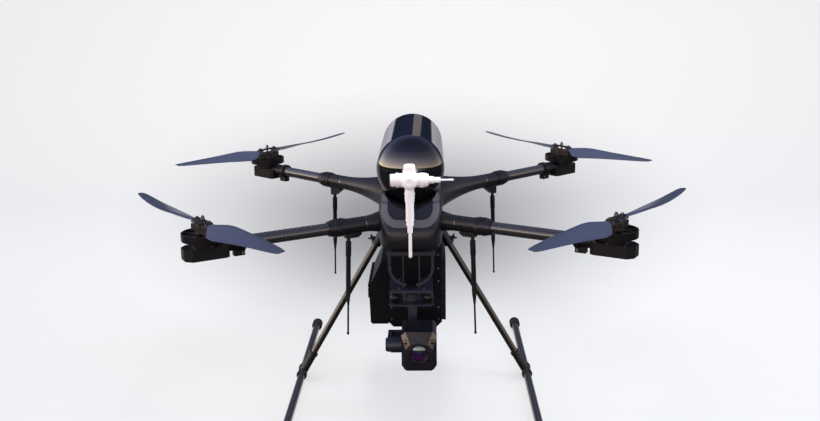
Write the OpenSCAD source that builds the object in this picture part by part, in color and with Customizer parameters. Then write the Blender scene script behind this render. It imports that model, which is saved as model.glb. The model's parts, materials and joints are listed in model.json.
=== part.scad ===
// Fuel cell quadcopter: pressure cylinder on top, four plug-in arms, two-blade folding rotors,
// a three-axis camera gimbal under the nose and a T-shaped skid landing gear.
// Millimetres. +Z is up, -Y is the nose, and the skids stand on z = 0.

/* [Layout] */
// Distance of each motor axis from the centre line
motor_x = 470; // [440:1:520]
// Distance of each motor axis ahead of or behind the middle
motor_y = 470; // [440:1:520]
// Height of the arm tubes' axes above the ground
arm_z = 520; // [500:1:560]
// Sideways place of the front arm seams
front_seam_x = 116; // [108:1:130]
// Fore and aft place of the front arm seams
front_seam_y = 268; // [255:1:275]
// Sideways place of the rear arm seams
rear_seam_x = 205; // [190:1:215]
// Fore and aft place of the rear arm seams
rear_seam_y = 232; // [220:1:245]

/* [Arms] */
// Outer diameter of the carbon arm tubes
tube_d = 30; // [26:1:32]
// Wall of the carbon arm tubes
tube_wall = 2; // [1:0.5:3]
// Length of the fixed coupling sleeve
sleeve_len = 52; // [48:1:60]
// Outer diameter of the coupling sleeve
sleeve_d = 39; // [38:1:42]
// Length of the lock nut
nut_len = 46; // [40:1:52]
// Outer diameter of the lock nut at its ribs
nut_d = 46; // [45:1:50]
// Number of slanted grip ribs on the lock nut
nut_ribs = 18; // [12:1:20]
// Radial running clearance of the nut and the tube
fit_gap = 0.15; // [0.1:0.05:0.25]

/* [Motor mounts] */
// Length of the motor mount housing
mount_len = 104; // [98:1:116]
// Width of the motor mount housing
mount_w = 56; // [50:1:64]
// Height of the motor mount housing
mount_h = 29; // [26:1:32]
// Wall of the motor mount housing
mount_wall = 2.5; // [2:0.5:4]
// Outer diameter of the motor bell
bell_d = 104; // [96:1:110]
// Height of the motor bell
bell_h = 17; // [15:1:20]
// Number of magnets in the motor bell
magnet_count = 28; // [20:2:32]
// Number of stator teeth
stator_teeth = 24; // [12:3:30]

/* [Rotors] */
// Radius of the rotor disc
rotor_r = 358; // [330:1:375]
// Angle of the rotor blades to the X axis at rest
rotor_angle = 50; // [45:1:55]
// Distance of each blade pivot from the motor axis
pivot_r = 28; // [26:1:32]
// Widest chord of a blade
blade_chord = 66; // [54:1:70]
// Blade pitch at its widest place
blade_pitch = 20; // [12:1:22]
// Diameter of the blade pivot pins
pivot_d = 6; // [5:0.5:8]

/* [Body] */
// Width of the body
body_w = 162; // [156:1:166]
// Thickness of the moulded shells
shell_wall = 3; // [2.5:0.5:4]
// Height of the seam between the hull and the top cover
seam_z = 512; // [506:1:516]

/* [Pressure cylinder] */
// Outer diameter of the pressure cylinder
tank_d = 172; // [160:1:174]
// Length of the straight part
tank_straight = 380; // [340:1:400]
// Depth of each domed end
tank_dome = 62; // [50:1:70]
// Height of the cylinder's axis
tank_z = 644; // [640:1:652]

/* [Power module] */
// Width of the fuel cell case
case_w = 146; // [130:1:150]
// Length of the fuel cell case
case_len = 290; // [240:1:300]
// Height of the fuel cell case
case_h = 214; // [190:1:220]
// Number of heat sink fins
fin_count = 17; // [10:1:20]
// Thickness of a heat sink fin
fin_t = 3; // [2:0.5:4]

/* [Landing gear] */
// Distance of each skid from the centre line
skid_x = 320; // [305:1:330]
// Length of a skid tube
skid_len = 800; // [700:10:840]
// Outer diameter of the skid tubes
skid_d = 20; // [18:1:22]
// Outer diameter of the leg tubes
leg_d = 18; // [16:1:20]
// Outer diameter of the rubber skid ends
foot_d = 32; // [30:1:36]
// Angle of the legs to the vertical
leg_angle = 30; // [28:1:31]

/* [Antennas] */
// Length of a whip antenna
antenna_len = 252; // [220:4:260]
// Outward lean of the antennas
antenna_lean = 2; // [0:1:4]

/* [Gimbal] */
// Fore and aft place of the gimbal's yaw axis
gimbal_y = -230; // [-235:1:-228]
// Width of the damper plate
plate_w = 110; // [104:1:116]
// Length of the damper plate
plate_len = 104; // [98:1:110]
// Width of the camera housing
camera_w = 90; // [80:1:92]
// Length of the camera housing
camera_len = 124; // [110:1:126]
// Height of the camera housing
camera_h = 104; // [96:1:108]
// Diameter of the main lens
lens_d = 46; // [40:1:50]

/* [Hidden] */
$fn = 64;

// Colours as the photograph shows them
shell_colour = [0.10, 0.10, 0.12];
black_colour = [0.03, 0.03, 0.035];
carbon_colour = [0.13, 0.14, 0.17];
metal_colour = [0.06, 0.06, 0.07];
white_colour = [0.92, 0.92, 0.93];
glass_colour = [0.18, 0.05, 0.20];

// Each arm: [side sign, fore and aft sign, seam x, seam y, turning sense seen from above]
fl = [-1, -1, front_seam_x, front_seam_y, 1];
fr = [1, -1, front_seam_x, front_seam_y, -1];
rl = [-1, 1, rear_seam_x, rear_seam_y, -1];
rr = [1, 1, rear_seam_x, rear_seam_y, 1];
arms = [fl, fr, rl, rr];
function arm_angle(a) = atan2(a[1] * (motor_y - a[3]), a[0] * (motor_x - a[2]));
function arm_reach(a) = norm([motor_x - a[2], motor_y - a[3]]);

// Heights in the rotor stack
mount_drop = 11;
mount_top = arm_z - mount_drop + mount_h / 2;
base_h = 15;
bell_z = mount_top + base_h;
hub_block_h = 16;
hub_z = bell_z + bell_h;
blade_z = hub_z + hub_block_h;
eye_t = 8;
plate_t = 3;
slide_gap = 0.3;

// Arm frame: the origin is on the seam, +X runs out along the arm tube's axis
module on_arm(a) {
  translate([a[0] * a[2], a[1] * a[3], arm_z]) rotate([0, 0, arm_angle(a)]) children();
}
// Motor frame: the origin is on the motor axis at height z, +X along the rest direction of blade a
module on_motor(a, z) {
  translate([a[0] * motor_x, a[1] * motor_y, z])
    rotate([0, 0, a[0] * a[1] > 0 ? -rotor_angle : rotor_angle]) children();
}

// ---------- body shell ----------
body_half = body_w / 2;
// Stations from nose to tail: [y, half width, bottom, top]
stations = [
  [-314, body_half - 33, 482, 506],
  [-309, body_half - 21, 466, 517],
  [-294, body_half - 10, 454, 540],
  [-264, body_half - 3, 448, 568],
  [-222, body_half, 445, 589],
  [-120, body_half, 442, 596],
  [0, body_half, 440, 597],
  [120, body_half, 442, 596],
  [222, body_half, 445, 589],
  [264, body_half - 3, 449, 568],
  [294, body_half - 12, 458, 538],
  [309, body_half - 26, 474, 516]
];
section_points = 40;
section_power = 0.42; // below 1 squares the section's corners
function squarish(v) = sign(v) * pow(abs(v), section_power);
function section(s, inset) =
  let (w = s[1] - inset, mid = (s[2] + s[3]) / 2, h = (s[3] - s[2]) / 2 - inset)
  [for (i = [0:section_points - 1])
    let (t = 360 * i / section_points) [w * squarish(cos(t)), s[0], mid + h * squarish(sin(t))]];
// A solid through rings of points that all have the same count
module loft(rings) {
  count = len(rings[0]);
  last = len(rings) - 1;
  points = [for (r = rings) each r];
  sides = [for (j = [0:last - 1], i = [0:count - 1])
    let (a = j * count + i, b = j * count + (i + 1) % count)
      each [[a, b, b + count], [a, b + count, a + count]]];
  polyhedron(points, concat([[for (i = [count - 1:-1:0]) i]], sides,
    [[for (i = [0:count - 1]) last * count + i]]), convexity = 6);
}
module body_form(inset) {
  first = inset > 0 ? 1 : 0;
  end = len(stations) - 1 - first;
  loft([for (i = [first:end]) section(stations[i], inset)]);
}
// Flared neck from inside the body out to an arm seam, lofted along the arm's axis
neck_steps = 8;
neck_points = 32;
function neck_ring(t, len, root_w, root_h, inset) =
  let (f = pow(1 - t, 1.8), r = sleeve_d / 2)
  let (w = r + (root_w - r) * f - inset, h = r + (root_h - r) * f - inset,
    x = -len * (1 - t) - inset * t)
  [for (i = [0:neck_points - 1]) let (q = 360 * i / neck_points) [x, w * cos(q), -h * sin(q)]];
module neck(a, inset) {
  rear = a[1] > 0;
  on_arm(a) loft([for (k = [0:neck_steps])
    neck_ring(k / neck_steps, rear ? 250 : 118, rear ? 84 : 62, rear ? 66 : 58, inset)]);
}
module whole_body() {
  difference() {
    union() {
      body_form(0);
      for (a = arms) neck(a, 0);
    }
    difference() {
      union() {
        body_form(shell_wall);
        for (a = arms) neck(a, shell_wall);
      }
      // the cradle keeps its wall under the cylinder
      tank_seat(shell_wall);
    }
    tank_seat(0);
    panel_recess(1.5);
  }
}
panel_w = 112;
panel_bottom = 536;
panel_corner = 24;
ring_w = 17;
ring_t = 1.6;
module panel_outline(grow) {
  hull() {
    for (s = [-1, 1]) translate([s * (panel_w / 2 - panel_corner), panel_bottom + panel_corner])
      circle(r = panel_corner + grow, $fn = 32);
    translate([-panel_w / 2 - grow, panel_bottom + 70]) square([panel_w + 2 * grow, 1]);
  }
}
module panel_prism(grow) {
  translate([0, -200, 0]) rotate([90, 0, 0]) linear_extrude(130) panel_outline(grow);
}
// Pocket in the front of the shells, depth below the surface, that takes the front panel
module panel_recess(depth) {
  difference() {
    panel_prism(0);
    body_form(depth);
  }
}
module tank_seat(wall) {
  rotate([90, 0, 0]) translate([0, tank_z, -340])
    cylinder(r = tank_r + pad_t + wall, h = 680, $fn = 96);
}
module hull_shell() {
  color(shell_colour) intersection() {
    whole_body();
    translate([-400, -400, 400]) cube([800, 800, seam_z - 400]);
  }
}
module top_cover() {
  color(shell_colour) intersection() {
    whole_body();
    translate([-400, -400, seam_z]) cube([800, 800, 100]);
  }
}
module front_panel() {
  color(black_colour) difference() {
    intersection() {
      body_form(0.6);
      panel_prism(0);
    }
    body_form(1.5);
    tank_seat(0);
  }
}

// Raised U-shaped trim round the panel
module nose_ring() {
  color(shell_colour) difference() {
    intersection() {
      body_form(-ring_t);
      panel_prism(ring_w);
    }
    body_form(0);
    panel_prism(0);
    tank_seat(0);
  }
}

// ---------- pressure cylinder ----------
tank_r = tank_d / 2;
pad_t = 2;
dome_steps = 10;
boss_r = 17;
boss_len = 12;
tank_wall = 8;
port_r = 7;
function dome_point(t, side, inset) = [(tank_r - inset) * cos(t),
  side * (tank_straight / 2 + (tank_dome - inset) * sin(t))];
module pressure_cylinder() {
  last = 78; // angle at which the dome meets the boss
  last_in = 84; // angle at which the cavity meets the port
  tip = tank_straight / 2 + tank_dome;
  color(black_colour) translate([0, 0, tank_z]) rotate([90, 0, 0]) rotate_extrude($fn = 96)
    polygon(concat(
    [[0, -tip]],
    [for (i = [dome_steps - 1:-1:0]) dome_point(90 * i / dome_steps, -1, 0)],
    [for (i = [0:dome_steps]) dome_point(last * i / dome_steps, 1, 0)],
    [[boss_r, tip], [boss_r, tip + boss_len], [port_r, tip + boss_len], [port_r, tip - tank_wall]],
    [for (i = [dome_steps:-1:0]) dome_point(last_in * i / dome_steps, 1, tank_wall)],
    [for (i = [0:dome_steps - 1]) dome_point(90 * i / dome_steps, -1, tank_wall)],
    [[0, -tip + tank_wall]]
  ));
}
saddle_w = 34;
saddle_y = 130;
// Two rubber saddles line the cradle and carry the cylinder
module cylinder_saddles() {
  color(black_colour) for (s = [-1, 1]) intersection() {
    translate([0, s * saddle_y + saddle_w / 2, tank_z]) rotate([90, 0, 0]) difference() {
      cylinder(r = tank_r + pad_t, h = saddle_w, $fn = 96);
      translate([0, 0, -1]) cylinder(r = tank_r, h = saddle_w + 2, $fn = 96);
    }
    translate([-56, -200, 500]) cube([112, 400, 100]);
  }
}

// ---------- gas regulator ----------
reg_y = -326;
reg_z = tank_z - 2;
reg_body_r = 17;
boss_face = -tank_straight / 2 - tank_dome - boss_len;
// Each limb of the cross is one turned profile of [radius, distance from the middle]
reg_across = [[0, -46], [15, -46], [15, -33], [18, -33], [18, -27], [17, -26], [17, 40], [15, 42],
  [15, 46], [0, 46]];
reg_upright = [[0, -52], [11.5, -52], [11.5, -34], [13, -34], [13, -31], [11.5, -31], [11.5, 0],
  [14, 0],
  [14, 18], [15.5, 18], [15.5, 22], [14, 22], [14, 36], [12, 38], [0, 38]];
module gas_regulator() {
  nut_at = boss_face - reg_y;
  color(white_colour) translate([0, reg_y, reg_z]) {
    rotate([0, 90, 0]) rotate_extrude() polygon(reg_across);
    rotate_extrude() polygon(reg_upright);
    rotate([-90, 0, 0]) rotate_extrude() polygon([
      [0, -25], [14, -25], [19, -21], [19, 21], [15, 25], [15, nut_at - 12], [0, nut_at - 12]
    ]);
    translate([0, nut_at, 0]) rotate([90, 15, 0]) cylinder(r = 17, h = 14, $fn = 6);
  }
}
line_end_z = 452;
module gas_lines() {
  color(white_colour) translate([0, reg_y, reg_z]) {
    translate([46, 0, 0]) rotate([0, 90, 0]) cylinder(r = 9, h = 12);
    translate([58, 0, 0]) rotate([0, 90, 0]) cylinder(r = 7, h = 16);
    translate([74, 0, 0]) rotate([0, 90, 0]) cylinder(r = 2.5, h = 32);
    translate([0, 0, -98]) cylinder(r = 10, h = 46);
    translate([0, 0, -100]) cylinder(r = 10.6, h = 2);
    translate([0, 0, -112]) cylinder(r = 9, h = 12);
    translate([0, 0, -130]) cylinder(r = 6.5, h = 18);
    translate([0, 0, line_end_z - reg_z]) cylinder(r = 4.2, h = reg_z - line_end_z - 130);
    translate([0, 0, line_end_z - reg_z]) sphere(r = 4.2);
  }
}

// ---------- power module ----------
case_x = 6;
case_y0 = -92;
case_top = 398;
case_bottom = case_top - case_h;
neck_w = 96;
case_belly = 440;
module fuel_cell_case() {
  bevel = 14;
  color(black_colour) difference() {
    union() {
      translate([case_x, case_y0 + case_len, 0]) rotate([90, 0, 0]) linear_extrude(case_len) polygon([
        [-case_w / 2 + bevel, case_bottom], [case_w / 2 - bevel, case_bottom],
        [case_w / 2, case_bottom + bevel],
        [case_w / 2, case_top], [-case_w / 2, case_top], [-case_w / 2, case_bottom + bevel]
      ]);
      translate([-neck_w / 2, case_y0 + 10, case_top])
        cube([neck_w, case_len - 20, case_belly - case_top]);
    }
    // hollow for the stack, closed on every side
    translate([case_x - case_w / 2 + 4, case_y0 + 4, case_bottom + bevel])
      cube([case_w - 8, case_len - 8, case_h - bevel - 4]);
    // grooves of the front cover
    for (z = [case_bottom + 40, case_bottom + 150])
      translate([case_x - case_w / 2 - 1, case_y0 - 1, z]) cube([case_w + 2, 2.5, 2]);
    // exhaust slots at the back
    for (i = [0:8])
      translate([case_x - 45, case_y0 + case_len - 5, case_bottom + 40 + 16 * i]) cube([90, 6, 8]);
  }
}
module air_intake_box() {
  back = 130;
  left = case_x - case_w / 2;
  outer = left - 52;
  bottom = case_bottom + 6;
  color(black_colour) difference() {
    union() {
      translate([0, back, 0]) rotate([90, 0, 0]) linear_extrude(back - case_y0 - 8) polygon([
        [left, bottom], [outer + 8, bottom], [outer + 3, bottom + 5], [outer, 292],
        [outer + 6, 306], [left - 18, 366], [left, 372]
      ]);
      // rounded ledges of the lid
      for (z = [288, 299]) translate([outer + 1.5, back, z]) rotate([90, 0, 0])
        cylinder(r = 4.5, h = back - case_y0 - 8);
    }
    for (i = [0:7]) translate([outer - 8, case_y0 + 40 + 20 * i, bottom + 22]) cube([12, 10, 50]);
  }
}
module heat_sink() {
  right = case_x + case_w / 2;
  low = case_bottom + 18;
  high = case_top - 22;
  pitch = (high - low - fin_t) / (fin_count - 1);
  color(metal_colour) union() {
    translate([right, case_y0 + 6, low]) cube([3, case_len - 12, high - low]);
    for (i = [0:fin_count - 1])
      translate([right, case_y0 + 6, low + i * pitch]) cube([11, case_len - 12, fin_t]);
  }
}

// ---------- landing gear ----------
skid_z = foot_d / 2;
leg_top_z = 446;
leg_top_x = skid_x - (leg_top_z - skid_z) * tan(leg_angle);
leg_len = (leg_top_z - skid_z) / cos(leg_angle);
socket_wall = 3;
tee_len = 58;
// Leg frame: the origin is on the skid's axis, +Z runs up the leg to the body
module on_leg(s) {
  translate([s * skid_x, 0, skid_z]) rotate([0, -s * leg_angle, 0]) children();
}
module leg_sockets() {
  socket_len = 62;
  flange = 6;
  color(metal_colour) for (s = [-1, 1]) {
    difference() {
      union() {
        intersection() {
          on_leg(s) translate([0, 0, leg_len - socket_len])
            cylinder(r = leg_d / 2 + socket_wall, h = socket_len + 12);
          translate([-500, -100, 0]) cube([1000, 200, leg_top_z + 30]);
        }
        translate([s * (leg_top_x - 6) - 22, -24, leg_top_z - flange]) cube([44, 48, flange + 34]);
        on_leg(s) translate([0, 0, leg_len - 50]) rotate([0, s * 90, 0])
          cylinder(r = 7, h = leg_d / 2 + 8);
      }
      on_leg(s) translate([0, 0, leg_len - socket_len - 1])
        cylinder(r = leg_d / 2 + 0.05, h = socket_len - 6);
      // the pad's top follows the hull
      body_form(0);
    }
    on_leg(s) translate([0, 0, leg_len - 50]) rotate([0, s * 90, 0]) translate([0, 0, leg_d / 2 + 8]) {
      cylinder(r = 5, h = 3);
      for (k = [-1, 1]) translate([k * 6 - 1.5, -1.5, 3]) cube([3, 3, 7]);
      translate([-7.5, -1.5, 3]) cube([15, 3, 4]);
    }
  }
}
module leg_tubes() {
  color(carbon_colour) for (s = [-1, 1]) on_leg(s) translate([0, 0, skid_d / 2 + 6]) difference() {
    cylinder(r = leg_d / 2, h = leg_len - 6 - skid_d / 2 - 10);
    translate([0, 0, -1]) cylinder(r = leg_d / 2 - 1.5, h = leg_len);
  }
}
module leg_tees() {
  color(metal_colour) for (s = [-1, 1]) difference() {
    union() {
      on_leg(s) cylinder(r = leg_d / 2 + socket_wall, h = 68);
      translate([s * skid_x, tee_len / 2, skid_z]) rotate([90, 0, 0])
        cylinder(r = skid_d / 2 + socket_wall, h = tee_len);
      translate([s * skid_x - 9, -9, 0]) cube([18, 18, skid_z - skid_d / 2 + 3]);
    }
    on_leg(s) translate([0, 0, skid_d / 2 + 6]) cylinder(r = leg_d / 2 + 0.05, h = 100);
    translate([s * skid_x, tee_len, skid_z]) rotate([90, 0, 0])
      cylinder(r = skid_d / 2 + 0.05, h = 2 * tee_len);
  }
}
module skid_tubes() {
  color(carbon_colour) for (s = [-1, 1])
    translate([s * skid_x, skid_len / 2, skid_z]) rotate([90, 0, 0]) difference() {
      cylinder(r = skid_d / 2, h = skid_len);
      translate([0, 0, -1]) cylinder(r = skid_d / 2 - 1.5, h = skid_len + 2);
    }
}
module skid_ends() {
  foot_len = 34;
  color(black_colour) for (s = [-1, 1], e = [-1, 1])
    translate([s * skid_x, e * (skid_len / 2 + 8), skid_z]) rotate([90 * e, 0, 0])
    rotate_extrude() polygon([
      [0, 0], [foot_d / 2 - 4, 0], [foot_d / 2, 4], [foot_d / 2, 12], [foot_d / 2 - 4, 15],
      [foot_d / 2 - 4, 18],
      [foot_d / 2, 21], [foot_d / 2, 30], [foot_d / 2 - 3, foot_len], [skid_d / 2 + 0.05, foot_len],
      [skid_d / 2 + 0.05, 8], [0, 8]
    ]);
}

// ---------- arms ----------
nut_start = sleeve_len;
spigot_len = 22;
spigot_d = sleeve_d - 4;
tube_inner_end = 8;
antenna_at = 43;
function block_drop(a) = a[1] > 0 ? 22 : 10;
module arm_coupling(a) {
  color(metal_colour) on_arm(a) difference() {
    union() {
      rotate([0, 90, 0]) cylinder(d = sleeve_d, h = sleeve_len);
      // thin bright seam ring beside the body
      translate([1, 0, 0]) rotate([0, 90, 0]) cylinder(d = sleeve_d + 1, h = 1.5);
      // spigot that carries the lock nut
      rotate([0, 90, 0]) cylinder(d = spigot_d, h = sleeve_len + spigot_len);
      // antenna block under the sleeve
      translate([10, -9, -sleeve_d / 2 - block_drop(a)])
        cube([antenna_at - 1.5, 18, block_drop(a) + 6]);
    }
    translate([-1, 0, 0]) rotate([0, 90, 0])
      cylinder(d = tube_d + 2 * fit_gap, h = sleeve_len + spigot_len + 2);
    // the block's underside slopes up towards the body
    translate([10, -15, -sleeve_d / 2 - 3]) rotate([0, 36, 0]) translate([0, 0, -30])
      cube([60, 30, 30]);
  }
}
module lock_nut(a) {
  rib_w = 2.2;
  cone = 14;
  flange_gap = 5;
  color(metal_colour) on_arm(a) translate([nut_start + slide_gap, 0, 0]) rotate([0, 90, 0])
    difference() {
      union() {
        cylinder(d = nut_d - 3, h = nut_len - cone);
        translate([0, 0, nut_len - cone]) cylinder(d1 = nut_d - 3, d2 = tube_d + 6, h = cone);
        for (i = [0:nut_ribs - 1]) rotate([0, 0, 360 * i / nut_ribs])
          translate([nut_d / 2 - 3, 0, (nut_len - cone) / 2 + 1])
          rotate([28, 0, 0]) cube([5, rib_w, nut_len - cone - 9], center = true);
      }
      // seat over the coupling's spigot and the tube's collar
      translate([0, 0, -1]) cylinder(d = spigot_d + 2 * fit_gap, h = spigot_len + flange_gap + 1.5);
      translate([0, 0, -1]) cylinder(d = tube_d + 2 * fit_gap, h = nut_len + 2);
    }
}
collar_len = 4;
module arm_tube(a) {
  color(carbon_colour) on_arm(a) rotate([0, 90, 0]) difference() {
    union() {
      translate([0, 0, tube_inner_end])
        cylinder(d = tube_d, h = arm_reach(a) - mount_len / 2 - tube_inner_end);
      translate([0, 0, sleeve_len + spigot_len + slide_gap])
        cylinder(d = spigot_d - 0.4, h = collar_len);
    }
    translate([0, 0, 0]) cylinder(d = tube_d - 2 * tube_wall, h = arm_reach(a));
  }
}

// ---------- motor mounts and motors ----------
nose = 16;
module mount_outline(inset) {
  out = mount_len / 2;
  w = mount_w / 2;
  offset(delta = -inset) polygon([
    [-out, -w + 6], [-out + 8, -w], [out - nose, -w], [out, -w + nose], [out, w - nose],
    [out - nose, w], [-out + 8, w], [-out, w - 6]
  ]);
}
clamp_len = 42;
// The socket stays below the turning bell
socket_r = min(tube_d / 2 + 4, bell_z - arm_z - 0.5);
module motor_mount(a) {
  reach = arm_reach(a);
  floor_z = -mount_drop - mount_h / 2;
  color(metal_colour) on_arm(a) difference() {
    union() {
      translate([reach, 0, floor_z]) linear_extrude(mount_h) mount_outline(0);
      // round socket that clamps the arm tube, with its split clamp and screw ear
      translate([reach - mount_len / 2 - clamp_len, 0, 0]) rotate([0, 90, 0])
        cylinder(r = socket_r, h = clamp_len + 10);
      translate([reach - mount_len / 2 - clamp_len, 0, 0]) rotate([0, 90, 0])
        cylinder(d = tube_d + 12, h = 12);
      translate([reach - mount_len / 2 - clamp_len, -8, -tube_d / 2 - 16]) cube([26, 16, 16]);
    }
    // closed cavity for the speed controller
    translate([reach, 0, floor_z + mount_wall]) linear_extrude(mount_h - 2 * mount_wall)
      intersection() {
        mount_outline(mount_wall);
        translate([-mount_len / 2 + 14, -mount_w]) square([mount_len, 2 * mount_w]);
      }
    translate([reach - mount_len / 2 - clamp_len - 1, 0, 0]) rotate([0, 90, 0])
      cylinder(d = tube_d + 0.1, h = clamp_len + 2);
    // clamp screw
    translate([reach - mount_len / 2 - clamp_len + 6, -20, -tube_d / 2 - 9]) rotate([-90, 0, 0])
      cylinder(d = 4, h = 40);
    // bevelled bottom of the tray at both ends
    translate([reach + mount_len / 2 - 8, -50, floor_z - 8]) rotate([0, -32, 0])
      translate([0, 0, -8]) cube([40, 100, 12]);
    translate([reach - mount_len / 2 - 4, -50, floor_z - 11]) rotate([0, 14, 0]) cube([70, 100, 8]);
  }
}
stator_r = bell_d / 2 - 8;
module motor_stator(a) {
  color(metal_colour) translate([a[0] * motor_x, a[1] * motor_y, 0]) difference() {
    union() {
      // foot that spans the open tray
      translate([0, 0, mount_top]) cylinder(r = 34, h = 3);
      translate([0, 0, mount_top]) cylinder(r = 30, h = base_h - 3);
      translate([0, 0, bell_z - 5]) cylinder(r = 38, h = 3);
      translate([0, 0, bell_z]) cylinder(r = 14, h = bell_h - 5);
      translate([0, 0, bell_z - 2]) cylinder(r = 30, h = 4);
      for (i = [0:stator_teeth - 1]) rotate([0, 0, 360 * i / stator_teeth])
        translate([10, -2, bell_z + 1]) cube([stator_r - 10, 4, bell_h - 8]);
    }
    translate([0, 0, mount_top - 1]) cylinder(r = 5, h = 60);
  }
}
module motor_bell(a) {
  spokes = 10;
  rim = 4;
  color(black_colour) translate([a[0] * motor_x, a[1] * motor_y, bell_z]) {
    difference() {
      cylinder(d = bell_d, h = bell_h);
      translate([0, 0, -1]) cylinder(d = bell_d - 2 * rim, h = bell_h + 2);
    }
    for (i = [0:spokes - 1]) rotate([0, 0, 360 * i / spokes]) translate([15, -3, bell_h - 3])
      cube([bell_d / 2 - 17, 6, 2.5]);
    translate([0, 0, bell_h - 3]) cylinder(r = 20, h = 3);
    for (i = [0:magnet_count - 1]) rotate([0, 0, 360 * (i + 0.5) / magnet_count])
      translate([bell_d / 2 - rim - 2, -3.5, 1]) cube([2.2, 7, bell_h - 5]);
    translate([0, 0, -12]) cylinder(r = 4.9, h = bell_h + 10);
  }
}

// ---------- rotor hubs and folding blades ----------
hub_len = 2 * pivot_r + 18;
hub_w = 25;
module rotor_hub(a) {
  top_w = 18;
  color(metal_colour) on_motor(a, hub_z) {
    difference() {
      union() {
        linear_extrude(hub_block_h) hull() for (s = [-1, 1])
          translate([s * (hub_len / 2 - 7), 0]) square([14, hub_w], center = true);
        cylinder(r = 17, h = hub_block_h - 2);
      }
      translate([-hub_len, -3, hub_block_h - 5]) cube([hub_len - pivot_r - 18, 6, 10]);
    }
    for (s = [-1, 1]) translate([s * pivot_r, 0, 0]) {
      cylinder(d = pivot_d, h = hub_block_h + eye_t + 2 * slide_gap + plate_t + 2);
      translate([0, 0, hub_block_h + eye_t + 2 * slide_gap + plate_t])
        cylinder(r = 5, h = 2.5, $fn = 6);
    }
    translate([0, 0, hub_block_h + eye_t + 2 * slide_gap]) linear_extrude(plate_t) difference() {
      hull() {
        for (s = [-1, 1]) translate([s * (pivot_r + 2), 0]) circle(d = top_w - 2);
        circle(d = top_w - 6);
      }
    }
    cylinder(r = 2.5, h = hub_block_h + eye_t + plate_t + 12);
  }
}
// Blade frame: +X runs out along the blade, y > 0 is the leading edge of a blade that turns left
blade_root = pivot_r + 13;
chord_table = [[0, 0.30], [0.04, 0.50], [0.10, 0.90], [0.18, 1.0], [0.35, 0.92], [0.6, 0.72],
  [0.85, 0.50], [0.97, 0.36], [1, 0.26]];
twist_table = [[0, 0.55], [0.06, 0.9], [0.18, 1.0], [0.45, 0.62], [1, 0.32]];
blade_sections = [0, 0.03, 0.07, 0.12, 0.2, 0.3, 0.42, 0.56, 0.7, 0.84, 0.95, 1];
foil_points = 9; // points along each face of a section
function foil(chord, thick) = concat(
  [for (i = [0:foil_points]) let (u = i / foil_points)
    [chord * (0.36 - u), thick * (1.3 * sqrt(u) * (1 - u) + 0.5 * u * (1 - u)) + 0.5]],
  [for (i = [foil_points:-1:0]) let (u = i / foil_points)
    [chord * (0.36 - u), thick * (0.35 * sqrt(u) * (1 - u) * -1 + 0.5 * u * (1 - u)) - 0.5]]);
function blade_ring(t) =
  let (
    x = blade_root + (rotor_r - blade_root) * t,
    chord = blade_chord * lookup(t, chord_table),
    pitch = blade_pitch * lookup(t, twist_table),
    thick = 8 - 6.2 * t,
    sweep = 6 * sin(180 * t) - 10 * pow(t, 3),
    lift = 10 * t * t)
  [for (p = foil(chord, thick)) [x, p[0] * cos(pitch) - p[1] * sin(pitch) + sweep,
  p[0] * sin(pitch) + p[1] * cos(pitch) + eye_t / 2 + lift]];
function reversed(list) = [for (i = [len(list) - 1:-1:0]) list[i]];
module blade(turn) {
  mirror([0, turn > 0 ? 0 : 1, 0]) difference() {
    union() {
      loft([for (t = blade_sections) reversed(blade_ring(t))]);
      // flat root eye between the hub's block and its top plate
      translate([pivot_r, 0, 0]) cylinder(r = 10, h = eye_t);
      translate([pivot_r, -7, 0]) cube([18, 14, eye_t]);
    }
    translate([pivot_r, 0, -1]) cylinder(d = pivot_d + 0.1, h = eye_t + 2);
  }
}
module blade_a(a) {
  color(carbon_colour) on_motor(a, blade_z + slide_gap) blade(a[4]);
}
module blade_b(a) {
  color(carbon_colour) on_motor(a, blade_z + slide_gap) rotate([0, 0, 180]) blade(a[4]);
}

// ---------- antennas ----------
module antennas() {
  whip_r = 2.4;
  color(black_colour) for (a = arms) on_arm(a) translate([antenna_at, 0, -sleeve_d / 2 - block_drop(a)])
    rotate([0, 180 - antenna_lean, 0]) rotate_extrude($fn = 32) polygon([
      [0, 0], [4.5, 0], [4.5, 8], [7, 10], [7, 46], [6, 48], [6, antenna_len - 108],
      [whip_r, antenna_len - 76],
      [whip_r, antenna_len - 6], [whip_r + 0.8, antenna_len - 5], [whip_r + 0.8, antenna_len - 1],
      [whip_r, antenna_len], [0, antenna_len]
    ]);
}

// ---------- gimbal ----------
plate_z = 350;
plate_h = 9;
lower_z = 312;
ball_gap = plate_z - plate_h - lower_z;
hole_x = 64;
hole_y = 70;
yaw_r = 24;
camera_x = 18;
camera_z = 186;
pitch_y = gimbal_y;
belly_z = 452;
module rounded_plate(w, l, h, r) {
  linear_extrude(h) offset(r = r, $fn = 32) square([w - 2 * r, l - 2 * r], center = true);
}
module camera_bracket() {
  color(metal_colour) difference() {
    bracket_form();
    body_form(0);
  }
}
module bracket_form() {
  union() {
    // damper plate with four screw holes
    translate([0, gimbal_y, plate_z - plate_h]) difference() {
      linear_extrude(plate_h) square([plate_w, plate_len], center = true);
      for (x = [-1, 1], y = [-1, 1])
        translate([x * hole_x / 2, y * hole_y / 2, -1]) cylinder(d = 3.2, h = plate_h + 2);
      // relief behind the front edge strip
      translate([-plate_w / 2 + 4, -plate_len / 2 - 1, -1]) cube([plate_w - 8, 3, 3]);
    }
    // two upright webs under the belly
    for (s = [-1, 1])
      translate([s * 20 - 1.5, gimbal_y - 30, plate_z]) cube([3, 80, belly_z - plate_z]);
    // two curved arms from the belly's edges in to the plate
    for (s = [-1, 1])
      translate([0, gimbal_y - 34, 0]) rotate([90, 0, 0]) linear_extrude(9) curved_arm(s);
    translate([-62, gimbal_y - 44, belly_z - 14]) cube([124, 94, 14]);
  }
}
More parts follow.
